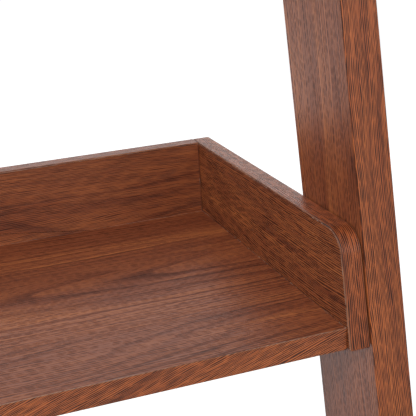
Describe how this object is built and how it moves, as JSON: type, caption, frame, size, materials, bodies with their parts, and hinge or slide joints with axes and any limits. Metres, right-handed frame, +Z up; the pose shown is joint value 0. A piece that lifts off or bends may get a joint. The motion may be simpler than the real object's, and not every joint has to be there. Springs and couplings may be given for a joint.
{
  "type": "ladder shelf",
  "caption": "Leaning ladder shelf in dark walnut laminate: two sloping uprights carry open trays with low rails that get shallower upwards and rest their backs against a wall.",
  "frame": {"origin": "on the floor, centred on the shelf's width and on its depth from the toe of the uprights to the wall's plane", "axes": "+Z up, +Y towards the wall the shelf leans on, +X to the shelf's right as seen from the front"},
  "size_m": [0.644, 0.45, 1.83],
  "materials": {
    "walnut_board": "satin walnut laminate with long grain, fine dark pores and matching edge band",
    "dark_steel": "bronze-black plated furniture bolt heads",
    "zinc_steel": "bright zinc-plated steel",
    "brown_plastic": "moulded dark brown plastic"
  },
  "bodies": {
    "root": {"left_upright": "walnut_board", "left_front_glide": "brown_plastic", "left_rear_glide": "brown_plastic", "left_wall_bracket": "zinc_steel", "left_bracket_screw_1": "zinc_steel", "left_bracket_screw_2": "zinc_steel", "right_upright": "walnut_board", "right_front_glide": "brown_plastic", "right_rear_glide": "brown_plastic", "right_wall_bracket": "zinc_steel", "right_bracket_screw_1": "zinc_steel", "right_bracket_screw_2": "zinc_steel", "tray_1_floor": "walnut_board", "tray_1_back_rail": "walnut_board", "tray_1_left_side_rail": "walnut_board", "tray_1_left_front_bolt": "dark_steel", "tray_1_left_rear_bolt": "dark_steel", "tray_1_right_side_rail": "walnut_board", "tray_1_right_front_bolt": "dark_steel", "tray_1_right_rear_bolt": "dark_steel", "tray_2_floor": "walnut_board", "tray_2_back_rail": "walnut_board", "tray_2_left_side_rail": "walnut_board", "tray_2_left_front_bolt": "dark_steel", "tray_2_left_rear_bolt": "dark_steel", "tray_2_right_side_rail": "walnut_board", "tray_2_right_front_bolt": "dark_steel", "tray_2_right_rear_bolt": "dark_steel", "tray_3_floor": "walnut_board", "tray_3_back_rail": "walnut_board", "tray_3_left_side_rail": "walnut_board", "tray_3_left_front_bolt": "dark_steel", "tray_3_left_rear_bolt": "dark_steel", "tray_3_right_side_rail": "walnut_board", "tray_3_right_front_bolt": "dark_steel", "tray_3_right_rear_bolt": "dark_steel", "tray_4_floor": "walnut_board", "tray_4_back_rail": "walnut_board", "tray_4_left_side_rail": "walnut_board", "tray_4_left_front_bolt": "dark_steel", "tray_4_left_rear_bolt": "dark_steel", "tray_4_right_side_rail": "walnut_board", "tray_4_right_front_bolt": "dark_steel", "tray_4_right_rear_bolt": "dark_steel", "tray_5_floor": "walnut_board", "tray_5_back_rail": "walnut_board", "tray_5_left_side_rail": "walnut_board", "tray_5_left_front_bolt": "dark_steel", "tray_5_left_rear_bolt": "dark_steel", "tray_5_right_side_rail": "walnut_board", "tray_5_right_front_bolt": "dark_steel", "tray_5_right_rear_bolt": "dark_steel"}
  },
  "joints": []
}
